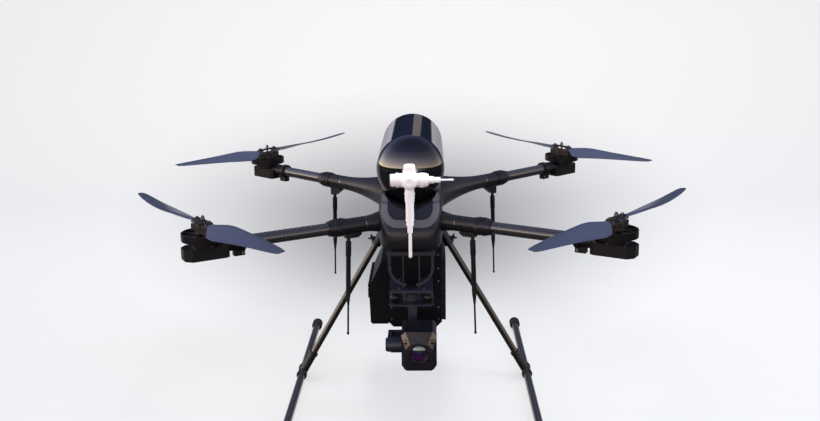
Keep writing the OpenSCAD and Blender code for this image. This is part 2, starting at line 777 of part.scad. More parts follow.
module curved_arm(s) {
  r_out = 50;
  t = 7;
  top = belly_z - 4;
  translate([s * (8 + r_out), top - 38 + 0]) mirror([s > 0 ? 1 : 0, 0]) {
    // upright
    translate([-0, -2]) square([t, 40]);
    // quarter bend towards the plate
    intersection() {
      translate([r_out, -2]) difference() {
        circle(r = r_out);
        circle(r = r_out - t);
      }
      translate([0, plate_z - top + 38]) square([r_out - 4, top - 40 - plate_z]);
    }
  }
}
module damper_balls() {
  r = 12;
  color(black_colour) for (x = [-1, 1], y = [-1, 1])
    translate([x * (plate_w / 2 - 12), gimbal_y + y * (plate_len / 2 - 14), lower_z + ball_gap / 2])
      rotate_extrude() polygon([
      [0, -ball_gap / 2], [7, -ball_gap / 2], [7, -ball_gap / 2 + 3], [r - 2, -7], [r, -2], [r, 2],
      [r - 2, 7], [7, ball_gap / 2 - 3], [7, ball_gap / 2], [0, ball_gap / 2]
    ]);
}
module damper_lower_plate() {
  color(metal_colour) translate([0, gimbal_y, lower_z - 4]) {
    rounded_plate(plate_w + 4, plate_len, 4, 12);
    // fixed half of the yaw motor
    translate([0, 0, 4]) cylinder(r = yaw_r, h = 18);
    translate([0, 0, -4]) cylinder(r = yaw_r - 3, h = 4);
  }
}
neck_y = 92; // behind the yaw axis
arm_t = 12;
roll_r = 20;
yaw_top = lower_z - 8 - slide_gap;
module yaw_arm() {
  disc_h = 9;
  color(metal_colour) translate([0, gimbal_y, 0]) union() {
    translate([0, 0, yaw_top - disc_h]) cylinder(r = yaw_r, h = disc_h);
    translate([-12, 0, yaw_top - disc_h]) cube([24, neck_y + arm_t / 2, disc_h]);
    translate([-12, neck_y - arm_t / 2, camera_z]) cube([24, arm_t, yaw_top - camera_z - 1]);
    translate([0, neck_y + arm_t / 2, camera_z]) rotate([90, 0, 0]) cylinder(r = roll_r, h = arm_t);
  }
}
pitch_r = 21;
pitch_in = camera_x - camera_w / 2 - slide_gap;
pitch_len = 30;
module roll_arm() {
  face_y = neck_y - arm_t / 2 - slide_gap;
  bar = 9;
  left = pitch_in - pitch_len - 8;
  color(metal_colour) translate([0, gimbal_y, camera_z]) union() {
    translate([0, face_y, 0]) rotate([90, 0, 0]) cylinder(r = roll_r - 2, h = 7);
    translate([left, face_y - 7, -9]) cube([-left, 7, 18]);
    translate([left, -18, -9]) cube([bar, face_y + 18, 18]);
    translate([left, 0, 0]) rotate([0, 90, 0]) cylinder(r = pitch_r - 2, h = bar);
    translate([left + bar, 0, 0]) rotate([0, 90, 0]) cylinder(r = pitch_r, h = pitch_in - left - bar);
    translate([left - 4, 0, 0]) rotate([0, 90, 0]) cylinder(r = pitch_r - 4, h = 4);
  }
}
module camera_housing() {
  c = 14;
  w = camera_w / 2;
  l = camera_len / 2;
  h = camera_h / 2;
  color(black_colour) translate([camera_x, gimbal_y, camera_z]) difference() {
    intersection() {
      // side profile, bevelled at the top and bottom of the front face and at the back
      translate([w, 0, 0]) rotate([90, 0, -90]) linear_extrude(camera_w) polygon([
        [l - 12, h], [l, h - 14], [l, -h + 10], [l - 10, -h], [-l + 16, -h], [-l, -h + 18],
        [-l, h - 18], [-l + 18, h]
      ]);
      // plan, with bevelled upright corners
      translate([0, 0, -h]) linear_extrude(camera_h) polygon([
        [-w + 4, -l], [w - 4, -l], [w, -l + 8], [w, l - c], [w - c, l], [-w + c, l], [-w, l - c],
        [-w, -l + 8]
      ]);
      // front view, an octagon
      translate([0, l, 0]) rotate([90, 0, 0]) linear_extrude(camera_len) polygon([
        [-w + c, -h], [w - c, -h], [w, -h + c], [w, h - 10], [w - 10, h], [-w + 10, h],
        [-w, h - 10], [-w, -h + c]
      ]);
    }
    // lens well
    translate([0, -l + 12, -3]) rotate([90, 0, 0]) cylinder(d = lens_d + 8, h = 20);
    // small windows in the upper front corners
    for (s = [-1, 1]) translate([s * (w - 11), -l + 8, h - 27]) cube([8, 30, 8], center = true);
  }
}
module camera_lens() {
  l = camera_len / 2;
  color(glass_colour) translate([camera_x, gimbal_y - l + 12, camera_z - 3]) rotate([90, 0, 0]) {
    difference() {
      cylinder(d = lens_d + 7.8, h = 11);
      translate([0, 0, 4]) cylinder(d = lens_d, h = 10);
    }
    translate([0, 0, 3.5]) cylinder(d = lens_d - 0.2, h = 1.5);
    translate([0, 0, 4]) intersection() {
      translate([0, 0, -44]) sphere(r = 50);
      cylinder(d = lens_d - 6, h = 20);
    }
  }
}

hull_shell();
top_cover();
front_panel();
nose_ring();
pressure_cylinder();
cylinder_saddles();
gas_regulator();
gas_lines();
fuel_cell_case();
air_intake_box();
heat_sink();
leg_sockets();
leg_tubes();
leg_tees();
skid_tubes();
skid_ends();
antennas();
camera_bracket();
damper_balls();
damper_lower_plate();
yaw_arm();
roll_arm();
camera_housing();
camera_lens();
arm_coupling(fl);  // arm_coupling_fl
arm_coupling(fr);  // arm_coupling_fr
arm_coupling(rl);  // arm_coupling_rl
arm_coupling(rr);  // arm_coupling_rr
lock_nut(fl);  // lock_nut_fl
lock_nut(fr);  // lock_nut_fr
lock_nut(rl);  // lock_nut_rl
lock_nut(rr);  // lock_nut_rr
arm_tube(fl);  // arm_tube_fl
arm_tube(fr);  // arm_tube_fr
arm_tube(rl);  // arm_tube_rl
arm_tube(rr);  // arm_tube_rr
motor_mount(fl);  // motor_mount_fl
motor_mount(fr);  // motor_mount_fr
motor_mount(rl);  // motor_mount_rl
motor_mount(rr);  // motor_mount_rr
motor_stator(fl);  // motor_stator_fl
motor_stator(fr);  // motor_stator_fr
motor_stator(rl);  // motor_stator_rl
motor_stator(rr);  // motor_stator_rr
motor_bell(fl);  // motor_bell_fl
motor_bell(fr);  // motor_bell_fr
motor_bell(rl);  // motor_bell_rl
motor_bell(rr);  // motor_bell_rr
rotor_hub(fl);  // rotor_hub_fl
rotor_hub(fr);  // rotor_hub_fr
rotor_hub(rl);  // rotor_hub_rl
rotor_hub(rr);  // rotor_hub_rr
blade_a(fl);  // blade_a_fl
blade_a(fr);  // blade_a_fr
blade_a(rl);  // blade_a_rl
blade_a(rr);  // blade_a_rr
blade_b(fl);  // blade_b_fl
blade_b(fr);  // blade_b_fr
blade_b(rl);  // blade_b_rl
blade_b(rr);  // blade_b_rr
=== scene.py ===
import bpy
import bmesh
import json
import math
from mathutils import Matrix, Vector


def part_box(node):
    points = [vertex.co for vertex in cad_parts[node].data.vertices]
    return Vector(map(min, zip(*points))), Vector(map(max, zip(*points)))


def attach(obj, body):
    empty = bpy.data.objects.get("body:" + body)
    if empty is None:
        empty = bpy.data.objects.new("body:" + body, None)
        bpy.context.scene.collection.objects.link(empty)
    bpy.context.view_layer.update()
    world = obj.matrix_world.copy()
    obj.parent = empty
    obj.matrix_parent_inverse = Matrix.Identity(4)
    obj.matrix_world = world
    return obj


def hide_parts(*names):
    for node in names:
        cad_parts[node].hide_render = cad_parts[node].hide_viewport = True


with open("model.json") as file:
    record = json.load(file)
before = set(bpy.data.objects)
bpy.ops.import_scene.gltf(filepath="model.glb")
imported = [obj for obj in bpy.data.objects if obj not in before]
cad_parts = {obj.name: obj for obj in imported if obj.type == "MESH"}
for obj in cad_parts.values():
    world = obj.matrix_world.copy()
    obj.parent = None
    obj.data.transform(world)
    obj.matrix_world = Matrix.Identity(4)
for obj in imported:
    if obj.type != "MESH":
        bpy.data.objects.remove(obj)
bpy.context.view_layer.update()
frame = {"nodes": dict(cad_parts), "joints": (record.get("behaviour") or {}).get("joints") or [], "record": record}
nodes = frame["nodes"]
bodies = frame["record"]["behaviour"]["bodies"]
bodyOf = {node: body for body, members in bodies.items() for node in members}
joints = {joint["name"]: joint for joint in frame["joints"]}
arms = ("fl", "fr", "rl", "rr")
sides = (-1, 1)
mm = 0.001
upward = Vector((0, 0, 1))
print("frame loaded:", len(nodes), "nodes")

# The camera stands where the photograph's did, in metres, degrees and pixels
cameraSetup = {"place": (0.047, -2.667, 1.132), "yaw": -1.14, "down": 13.56, "roll": -0.76,
               "focalPixels": 996.2, "imageWidth": 820, "sensorWidth": 36}


def aimCamera(setup):
    yaw, down, roll = (math.radians(setup[key]) for key in ("yaw", "down", "roll"))
    forward = Vector((math.sin(yaw) * math.cos(down), math.cos(yaw) * math.cos(down),
                      -math.sin(down)))
    level = Vector((math.cos(yaw), -math.sin(yaw), 0))
    above = level.cross(forward)
    right = level * math.cos(roll) + above * math.sin(roll)
    top = above * math.cos(roll) - level * math.sin(roll)
    data = bpy.data.cameras.new("photoCamera")
    data.sensor_width = setup["sensorWidth"]
    data.lens = setup["focalPixels"] * setup["sensorWidth"] / setup["imageWidth"]
    camera = bpy.data.objects.new("photoCamera", data)
    bpy.context.scene.collection.objects.link(camera)
    turn = Matrix((right, top, -forward)).transposed().to_4x4()
    camera.matrix_world = Matrix.Translation(setup["place"]) @ turn
    bpy.context.scene.camera = camera


aimCamera(cameraSetup)
bpy.context.scene.view_settings.view_transform = "Standard"


# An output of a shader node, on which sums add Math nodes
class Wire:
    def __init__(self, sheet, socket):
        self.sheet, self.socket = sheet, socket

    def maths(self, operation, *values):
        return self.sheet.add("ShaderNodeMath", {"operation": operation}, dict(enumerate(values)))

    def __add__(self, other): return self.maths("ADD", self, other)
    def __sub__(self, other): return self.maths("SUBTRACT", self, other)
    def __rsub__(self, other): return self.maths("SUBTRACT", other, self)
    def __mul__(self, other): return self.maths("MULTIPLY", self, other)
    def __truediv__(self, other): return self.maths("DIVIDE", self, other)
    def __mod__(self, other): return self.maths("FLOORED_MODULO", self, other)
    def __lt__(self, other): return self.maths("LESS_THAN", self, other)
    def __gt__(self, other): return self.maths("GREATER_THAN", self, other)
    def floor(self): return self.maths("FLOOR", self)
    def root(self): return self.maths("SQRT", self)
    def sine(self): return self.maths("SINE", self)


# A node tree, worked through wires
class Sheet:
    def __init__(self, tree):
        self.tree = tree

    def add(self, kind, settings=None, sockets=None, output=0):
        node = self.tree.nodes.new(kind)
        for key, value in (settings or {}).items():
            setattr(node, key, value)
        for key, value in (sockets or {}).items():
            self.plug(node.inputs[key], value)
        return Wire(self, node.outputs[output])

    def plug(self, socket, value):
        if isinstance(value, Wire):
            self.tree.links.new(value.socket, socket)
        elif isinstance(value, tuple) and len(value) < len(socket.default_value):
            socket.default_value = (*value, 1)  # a colour without its alpha
        else:
            socket.default_value = value

    def axes(self, vector):
        return [self.add("ShaderNodeSeparateXYZ", None, {0: vector}, axis) for axis in range(3)]

    def ramp(self, factor, *stops):
        wire = self.add("ShaderNodeValToRGB", None, {0: factor})
        elements = wire.socket.node.color_ramp.elements
        for element, (place, shade) in ((elements[0], stops[0]), (elements[-1], stops[-1])):
            element.position, element.color = place, (*shade, 1)
        for place, shade in stops[1:-1]:
            elements.new(place).color = (*shade, 1)
        return wire

    def mix(self, factor, first, second):
        sockets = {0: factor, 6: first, 7: second}  # the colour sockets of a Mix node
        return self.add("ShaderNodeMix", {"data_type": "RGBA"}, sockets, 2)

    def span(self, value, low, high):  # from 0..1 to low..high
        return value * (high - low) + low


shaderSockets = {"color": "Base Color", "rough": "Roughness", "metal": "Metallic",
                 "coat": "Coat Weight", "coatRough": "Coat Roughness", "normal": "Normal",
                 "ior": "IOR", "specular": "Specular IOR Level",
                 "glow": "Emission Color", "glowPower": "Emission Strength"}


# A material with one Principled shader
class Finish(Sheet):
    def __init__(self, name, **shader):
        self.material = bpy.data.materials.new(name)
        self.material.use_nodes = True
        super().__init__(self.material.node_tree)
        self.tree.nodes.clear()
        self.surface = self.tree.nodes.new("ShaderNodeBsdfPrincipled")
        output = self.tree.nodes.new("ShaderNodeOutputMaterial")
        self.tree.links.new(self.surface.outputs[0], output.inputs[0])
        self.set(**shader)

    def set(self, **shader):
        for key, value in shader.items():
            self.plug(self.surface.inputs[shaderSockets[key]], value)
        return self

    def place(self, at=(0, 0, 0), turn=(0, 0, 0)):  # object coordinates from a chosen frame
        coordinates = self.add("ShaderNodeTexCoord", output=3)
        if at == (0, 0, 0) and turn == (0, 0, 0):
            return coordinates
        return self.add("ShaderNodeMapping", {"vector_type": "TEXTURE"},
                        {"Vector": coordinates, "Location": at, "Rotation": turn})

    def noise(self, scale, detail=3.0, roughness=0.55):
        return self.add("ShaderNodeTexNoise", None, {"Vector": self.place(), "Scale": scale,
                                                     "Detail": detail, "Roughness": roughness})

    def bump(self, height, strength, distance):
        sockets = {"Height": height, "Strength": strength, "Distance": distance}
        return self.set(normal=self.add("ShaderNodeBump", None, sockets))


plastic = {"cloudScale": 9.0, "cloudEdges": (0.3, 0.7), "cloudDarkness": 0.86,
           "patchScale": 26.0, "patchDetail": 4.0, "patchRough": (-0.05, 0.07),
           "poreDetail": 2.0, "poreStrength": 0.25, "poreDepth": 0.00006, "coatRough": 0.12,
           "seamSquare": 0.000001, "seamShade": (0.002, 0.002, 0.002)}


def mouldedPlastic(name, shade, rough, coat=0.0, grain=1400.0, seam=None, gloss=0.25):
    finish = Finish(name, coat=coat, coatRough=plastic["coatRough"], specular=gloss)
    dark = tuple(plastic["cloudDarkness"] * part for part in shade)
    low, high = plastic["cloudEdges"]
    colour = finish.ramp(finish.noise(plastic["cloudScale"]), (low, dark), (high, shade))
    if seam:  # a dark parting line at this height
        off = finish.axes(finish.place())[2] - seam
        colour = finish.mix((off * off) < plastic["seamSquare"], colour, plastic["seamShade"])
    patches = finish.noise(plastic["patchScale"], plastic["patchDetail"])
    smoothest, roughest = (rough + step for step in plastic["patchRough"])
    finish.set(color=colour, rough=finish.span(patches, smoothest, roughest))
    pores = finish.noise(grain, plastic["poreDetail"])
    return finish.bump(pores, plastic["poreStrength"], plastic["poreDepth"])


brushing = {"scale": 900.0, "detail": 4.0, "dark": 0.8, "light": 1.15, "rough": (-0.06, 0.08),
            "strength": 0.15, "depth": 0.00004}


def brushedMetal(name, shade, rough, metal):
    finish = Finish(name, metal=metal)
    grain = finish.noise(brushing["scale"], brushing["detail"])
    dark, light = (tuple(share * part for part in shade)
                   for share in (brushing["dark"], brushing["light"]))
    smoothest, roughest = (rough + step for step in brushing["rough"])
    finish.set(color=finish.mix(grain, dark, light), rough=finish.span(grain, smoothest, roughest))
    return finish.bump(grain, brushing["strength"], brushing["depth"])


weave = {"repeat": 4.0, "over": 2.0, "warpShare": 0.75, "crownSheenShare": 0.25, "roughRise": 0.14,
         "strength": 0.35, "depth": 0.0001}
tubeWeave = {"shades": ((0.008, 0.008, 0.009), (0.045, 0.045, 0.048)), "tow": 0.0022,
             "rough": 0.22, "coat": 1.0, "coatRough": 0.06, "metal": 0.25}
# The blades' blue is a painted sky sheen over their dark carbon
bladeWeaveAndSkySheen = {"shades": ((0.030, 0.036, 0.058), (0.046, 0.055, 0.088)), "tow": 0.003,
              "rough": 0.3, "coat": 0.6, "coatRough": 0.15, "metal": 0.15, "angle": 45}


def twill(finish, across, along, cloth):
    column, row = across / cloth["tow"], along / cloth["tow"]
    warp = ((column.floor() + row.floor()) % weave["repeat"]) < weave["over"]
    columnCrown, rowCrown = (((tows % 1.0) * math.pi).sine() for tows in (column, row))
    crown = warp * columnCrown + (1.0 - warp) * rowCrown
    # warp tows are a lighter tone; each tow's crown is also painted lighter, a painted sheen
    toneAndSheen = warp * weave["warpShare"] + crown * weave["crownSheenShare"]
    smoothest = cloth["rough"]
    finish.set(color=finish.mix(toneAndSheen, *cloth["shades"]),
               rough=finish.span(warp, smoothest, smoothest + weave["roughRise"]))
    return finish.bump(crown, weave["strength"], weave["depth"])


def wovenFinish(name, cloth):
    return Finish(name, coat=cloth["coat"], coatRough=cloth["coatRough"], metal=cloth["metal"])


def wovenTube(name, origin, direction, radius):
    finish = wovenFinish(name, tubeWeave)
    turn = Vector(direction).to_track_quat("Z", "Y").to_euler()
    across, lift, along = finish.axes(finish.place(tuple(origin), tuple(turn)))
    angle = finish.add("ShaderNodeMath", {"operation": "ARCTAN2"}, {0: lift, 1: across})
    repeat = weave["repeat"] * tubeWeave["tow"]
    wholeRepeats = round(2 * math.pi * radius / repeat)
    return twill(finish, angle * (wholeRepeats * repeat / (2 * math.pi)), along, tubeWeave)


def wovenBlade(name):
    finish = wovenFinish(name, bladeWeaveAndSkySheen)
    turn = (0, 0, math.radians(bladeWeaveAndSkySheen["angle"]))
    across, along, _ = finish.axes(finish.place(turn=turn))
    return twill(finish, across, along, bladeWeaveAndSkySheen)


lacquer = {"shades": ((0.0035, 0.0035, 0.005), (0.006, 0.006, 0.009)), "pitch": 0.35,
           "scale": 900.0, "rough": 0.07, "coatRough": 0.02}


def cylinderLacquer():  # gloss over crossed windings
    finish = Finish("cylinderLacquer", coat=1.0, coatRough=lacquer["coatRough"])
    across, along, _ = finish.axes(finish.place())
    lean = along * lacquer["pitch"]
    first, second = ((path * lacquer["scale"]).sine() for path in (across + lean, across - lean))
    wound = (first + second) * 0.25 + 0.5
    return finish.set(color=finish.mix(wound, *lacquer["shades"]), rough=lacquer["rough"])


lensCoatAndReflection = {"rough": 0.08, "coatRough": 0.02, "ior": 1.6, "scale": 22.0,
           "stops": ((0.1, (0.045, 0.006, 0.055)), (0.5, (0.012, 0.004, 0.035)),
                     (0.85, (0.004, 0.07, 0.08)))}


def lensGlass():  # purple below and green above: a painted reflection of the sky in the coated glass
    finish = Finish("lensCoatingPaintedReflection", coat=1.0, coatRough=lensCoatAndReflection["coatRough"],
                    rough=lensCoatAndReflection["rough"], ior=lensCoatAndReflection["ior"])
    middle = sum(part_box("camera_lens"), Vector()) / 2
    rise = finish.axes(finish.place(tuple(middle)))[2]
    # painted reflection: the glass colour runs from purple to green with height
    return finish.set(color=finish.ramp(rise * lensCoatAndReflection["scale"] + 0.5, *lensCoatAndReflection["stops"]))


seamHeight = 0.570  # where hull and cover meet
shellFinish = mouldedPlastic("charcoalShell", (0.012, 0.012, 0.015), 0.32,
                             seam=seamHeight, gloss=0.32)
panelFinish = mouldedPlastic("noseInset", (0.012, 0.013, 0.020), 0.36)
ringFinish = mouldedPlastic("noseRing", (0.075, 0.074, 0.084), 0.34, seam=seamHeight, gloss=0.5)
blackFinish = mouldedPlastic("mattBlack", (0.006, 0.006, 0.008), 0.40)
caseFinish = mouldedPlastic("caseBlack", (0.004, 0.004, 0.006), 0.40, gloss=0.12)
antennaFinish = mouldedPlastic("antennaBlack", (0.010, 0.010, 0.012), 0.46)
rubberFinish = mouldedPlastic("rubber", (0.014, 0.014, 0.014), 0.66, grain=700.0)
whiteFinish = mouldedPlastic("regulatorWhite", (0.93, 0.93, 0.95), 0.33, grain=900.0)
cameraFinish = mouldedPlastic("cameraBlack", (0.007, 0.007, 0.012), 0.34)
legFinish = mouldedPlastic("legCarbon", (0.02, 0.018, 0.017), 0.2, coat=0.6)
couplingFinish = brushedMetal("anodisedBlack", (0.022, 0.022, 0.026), 0.36, 0.6)
motorFinish = brushedMetal("motorBlack", (0.014, 0.014, 0.016), 0.30, 0.7)
hubFinish = brushedMetal("hubBronze", (0.040, 0.032, 0.028), 0.34, 0.7)
gimbalFinish = brushedMetal("gimbalNavy", (0.020, 0.022, 0.038), 0.40, 0.2)
steelFinish = brushedMetal("screwSteel", (0.42, 0.42, 0.44), 0.26, 1.0)
facetFinish = brushedMetal("cameraBronze", (0.10, 0.078, 0.060), 0.30, 0.5)
finFinish = brushedMetal("finBlack", (0.030, 0.030, 0.034), 0.38, 0.7)
copperFinish = brushedMetal("windingCopper", (0.16, 0.045, 0.02), 0.34, 0.8)
bladeFinish = wovenBlade("bladeCarbon")
cylinderFinish = cylinderLacquer()
lensFinish = lensGlass()
windowFinish = Finish("glossBlack", color=(0.003, 0.003, 0.004), rough=0.08)

# How the CAD meshes are cleaned: metres and degrees
cleaning = {"merge": 2e-6, "touch": 1e-6, "flat": 0.6, "crease": 30, "openEdge": 3.2}


def link(name, mesh):
    data = bpy.data.meshes.new(name)
    mesh.to_mesh(data)
    mesh.free()
    item = bpy.data.objects.new(name, data)
    bpy.context.scene.collection.objects.link(item)
    return item


def soften(mesh, crease):
    for face in mesh.faces:
        face.smooth = True
    for edge in mesh.edges:  # an edge with one face counts as sharp
        edge.smooth = edge.calc_face_angle(cleaning["openEdge"]) < math.radians(crease)


def split(mesh, place, normal, clear=False):
    parts = mesh.verts[:] + mesh.edges[:] + mesh.faces[:]
    made = bmesh.ops.bisect_plane(mesh, geom=parts, dist=cleaning["touch"], plane_co=place,
                                  plane_no=normal, clear_outer=clear)
    return [part for part in made["geom_cut"] if isinstance(part, bmesh.types.BMEdge)]


dressed = []


# Each CAD node is shown by a copy of its mesh with true smoothing.
# cuts take corners off at planes in millimetres, slices only add rings that keep shading true
def dress(node, finish, crease=cleaning["crease"], cuts=(), extra=(), slices=()):
    mesh = bmesh.new()
    mesh.from_mesh(nodes[node].data)
    bmesh.ops.remove_doubles(mesh, verts=mesh.verts, dist=cleaning["merge"])
    bmesh.ops.dissolve_limit(mesh, angle_limit=math.radians(cleaning["flat"]),
                             verts=mesh.verts, edges=mesh.edges)
    for place, normal, layer in cuts:
        rim = split(mesh, Vector(place) * mm, normal, clear=True)
        for face in bmesh.ops.holes_fill(mesh, edges=rim, sides=0)["faces"]:
            face.material_index = layer
    for place, normal in slices:
        split(mesh, place, normal)
    soften(mesh, crease)
    item = link(node + "_dressed", mesh)
    for coat in (finish, *extra):
        item.data.materials.append(coat.material)
    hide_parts(node)
    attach(item, bodyOf[node])
    dressed.append(item)


plainNodes = {
    "hull_shell": shellFinish, "top_cover": shellFinish, "front_panel": panelFinish,
    "nose_ring": ringFinish, "cylinder_saddles": rubberFinish, "gas_regulator": whiteFinish,
    "gas_lines": whiteFinish, "fuel_cell_case": caseFinish, "air_intake_box": caseFinish,
    "heat_sink": finFinish, "leg_sockets": couplingFinish, "leg_tees": couplingFinish,
    "skid_ends": rubberFinish, "antennas": antennaFinish, "camera_bracket": gimbalFinish,
    "damper_balls": motorFinish, "damper_lower_plate": gimbalFinish, "yaw_arm": gimbalFinish,
    "roll_arm": gimbalFinish, "camera_lens": lensFinish}
armNodes = {
    "arm_coupling_": couplingFinish, "lock_nut_": couplingFinish, "motor_mount_": blackFinish,
    "motor_stator_": motorFinish, "motor_bell_": motorFinish, "rotor_hub_": hubFinish,
    "blade_a_": bladeFinish, "blade_b_": bladeFinish}
creases = {"hull_shell": 26, "top_cover": 26}
for node, finish in plainNodes.items():
    dress(node, finish, creases.get(node, cleaning["crease"]))
for key in arms:
    for stem, finish in armNodes.items():
        dress(stem + key, finish)

tubes = {"arm": 0.015, "skid": 0.01, "skidPlace": (0, 0, 0.016), "skidWay": (0, 1, 0)}
for key in arms:  # each tube's weave follows its own axis
    start = Vector(joints["nut_turn_" + key]["pos_m"])
    pull = joints["arm_pull_" + key]["axis"]
    dress("arm_tube_" + key, wovenTube("armWeave_" + key, start, pull, tubes["arm"]))
dress("leg_tubes", legFinish)
dress("skid_tubes", wovenTube("skidWeave", tubes["skidPlace"], tubes["skidWay"], tubes["skid"]))

# The photograph shows a cut brow, cut upright edges and two bronze facets with windows.
# Each plane is a point in millimetres and the way out of the camera
cameraPlanes = {"brow": ((18, -292, 209), (0, -0.924, 0.383)),
                "edge": ((-16, -292, 186), (-0.763, -0.646, 0)),
                "facet": ((-5, -292, 209), (-0.351, -0.905, 0.241))}
cameraMiddle = 18


def mirrored(place, normal):
    return (2 * cameraMiddle - place[0], *place[1:]), (-normal[0], *normal[1:])


cameraCuts = [(*cameraPlanes["brow"], 0)]
for name, layer in (("edge", 0), ("facet", 1)):
    for plane in (cameraPlanes[name], mirrored(*cameraPlanes[name])):
        cameraCuts.append((*plane, layer))
dress("camera_housing", cameraFinish, cuts=cameraCuts, extra=(facetFinish,))

cylinderRings = {"reach": 0.189, "height": 0.644}
dress("pressure_cylinder", cylinderFinish,
      slices=[((0, side * cylinderRings["reach"], cylinderRings["height"]), (0, 1, 0))
              for side in sides])
print("dressed nodes:", len(dressed))


def facing(place, direction, spin=0.0):  # a place in millimetres whose +Z runs along direction
    turn = Vector(direction).to_track_quat("Z", "Y").to_matrix().to_4x4()
    return Matrix.Translation(Vector(place) * mm) @ turn @ turned(spin)


def turned(degrees):
    return Matrix.Rotation(math.radians(degrees), 4, "Z")


def shifted(x, y, z):
    return Matrix.Translation((x * mm, y * mm, z * mm))


def ringOf(count, radius, height=0.0, start=0.0):  # places round +Z, each facing outwards
    return [turned(start + 360 * step / count) @ shifted(radius, 0, height)
            for step in range(count)]


headShape = {"rim": 0.14, "wall": 0.34, "sink": 0.6, "sides": 20}  # shares of radius and height


# A new piece, built in millimetres at places that facing and ringOf give
class Piece:
    def __init__(self, name, body, finish, slot):
        self.name, self.body, self.finish, self.slot = name, body, finish, slot
        self.mesh = bmesh.new()

    def block(self, where, size, edge):
        scale = Matrix.Diagonal((*(side * mm for side in size), 1))
        made = bmesh.ops.create_cube(self.mesh, size=1, matrix=where @ scale)
        edges = list({link for vert in made["verts"] for link in vert.link_edges})
        bmesh.ops.bevel(self.mesh, geom=edges, offset=edge * mm, segments=2, profile=0.5,
                        affect="EDGES", material=-1)
        return self

    def lathe(self, where, profile, steps):
        wheel = bmesh.new()
        row = [wheel.verts.new((radius * mm, 0, height * mm)) for radius, height in profile]
        rim = [wheel.edges.new(pair) for pair in zip(row, row[1:])]
        bmesh.ops.spin(wheel, geom=row + rim, cent=(0, 0, 0), axis=upward, angle=2 * math.pi,
                       steps=steps, use_merge=True)
        bmesh.ops.remove_doubles(wheel, verts=wheel.verts, dist=cleaning["touch"])
        bmesh.ops.transform(wheel, matrix=where, verts=wheel.verts)
        shape = bpy.data.meshes.new("shape")
        wheel.to_mesh(shape)
        wheel.free()
        self.mesh.from_mesh(shape)
        bpy.data.meshes.remove(shape)
        return self

    def screw(self, where, radius, height):  # a round head with a sunk socket
        made = bmesh.ops.create_cone(self.mesh, cap_ends=True, segments=headShape["sides"],
                                     radius1=radius * mm, radius2=radius * mm, depth=height * mm,
                                     matrix=where @ shifted(0, 0, height / 2))
        outward = where.to_3x3() @ upward
        faces = {face for vert in made["verts"] for face in vert.link_faces}
        top = max(faces, key=lambda face: face.calc_center_median().dot(outward))
        for share in (headShape["rim"], headShape["wall"]):
            bmesh.ops.inset_region(self.mesh, faces=[top], thickness=radius * mm * share, depth=0)
        socket = bmesh.ops.extrude_discrete_faces(self.mesh, faces=[top])["faces"]
        corners = list({vert for face in socket for vert in face.verts})
        bmesh.ops.translate(self.mesh, verts=corners,
                            vec=-outward * height * mm * headShape["sink"])
        return self

    def done(self, crease=32):
        bmesh.ops.remove_doubles(self.mesh, verts=self.mesh.verts, dist=cleaning["touch"])
        bmesh.ops.recalc_face_normals(self.mesh, faces=self.mesh.faces)
        soften(self.mesh, crease)
        item = link(self.name, self.mesh)
        item.data.materials.append(self.finish.material)
        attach(item, self.body)


# Rotors: pivot pins, block screws, a ring of bell screws and the centre nut
rotorTrim = {"turn": {"fl": 130, "fr": 50, "rl": 50, "rr": 130}, "pins": (28, 585.6),
             "pinHead": (3.2, 2.0), "blockSpots": (13, 7.5, 571.1), "blockHead": (1.9, 1.7),
             "bellRing": (5, 16.5, 555.2, 9), "bellHead": (1.6, 1.2), "nutSteps": 24,
             "nut": ((0, 586), (5.4, 586), (5.4, 588), (4.2, 588.6), (4.2, 592.6), (3.4, 593.6),
                     (0, 593.6))}


def motorAxis(key):
    x, y, _ = joints["rotor_spin_" + key]["pos_m"]
    return Matrix.Translation((x, y, 0))


def rotorScrews(key):
    piece = Piece("rotorScrews_" + key, "rotor_" + key, steelFinish, "hub")
    middle = motorAxis(key) @ turned(rotorTrim["turn"][key])
    reach, top = rotorTrim["pins"]
    x, y, height = rotorTrim["blockSpots"]
    for side in sides:
        piece.screw(middle @ shifted(side * reach, 0, top), *rotorTrim["pinHead"])
        for way in sides:
            piece.screw(middle @ shifted(side * x, way * y, height), *rotorTrim["blockHead"])
    for where in ringOf(*rotorTrim["bellRing"]):
        piece.screw(middle @ where, *rotorTrim["bellHead"])
    piece.lathe(middle, rotorTrim["nut"], rotorTrim["nutSteps"])
    piece.done()


# Motors: copper windings round the stator and the screws of its base
motorTrim = {"coilRing": (24, 34, 546.5), "coil": (18, 5.6, 8), "coilEdge": 1.6,
             "baseRing": (4, 31.6, 526.2, 45), "baseHead": (1.7, 1.2)}


def motorWindings(key):
    middle = motorAxis(key)
    coils = Piece("windings_" + key, "arm_" + key, copperFinish, "motor")
    for where in ringOf(*motorTrim["coilRing"]):
        coils.block(middle @ where, motorTrim["coil"], motorTrim["coilEdge"])
    coils.done()
    base = Piece("motorScrews_" + key, "arm_" + key, steelFinish, "motor")
    for where in ringOf(*motorTrim["baseRing"]):
        base.screw(middle @ where, *motorTrim["baseHead"])
    base.done()


for key in arms:
    rotorScrews(key)
    motorWindings(key)
print("rotor trim done")

# Camera: stepped rings round a domed glass
lensTrim = {"place": (18, -280, 183), "ringSteps": 72, "ringCrease": 24, "glassSteps": 64,
            "rings": ((26.8, 9), (26.8, 12.6), (25.6, 13.6), (24.4, 13.6), (23.6, 12.4),
                      (23.6, 9.5), (21.4, 8), (21.4, 6.2), (19.4, 6.2), (19.4, 4.6), (22.8, 4.2),
                      (24.2, 9), (26.8, 9)),
            "glass": ((0, 4.3), (0, 9.4), (6, 9.0), (11, 7.9), (15, 6.3), (18.6, 4.6),
                      (18.6, 4.3))}


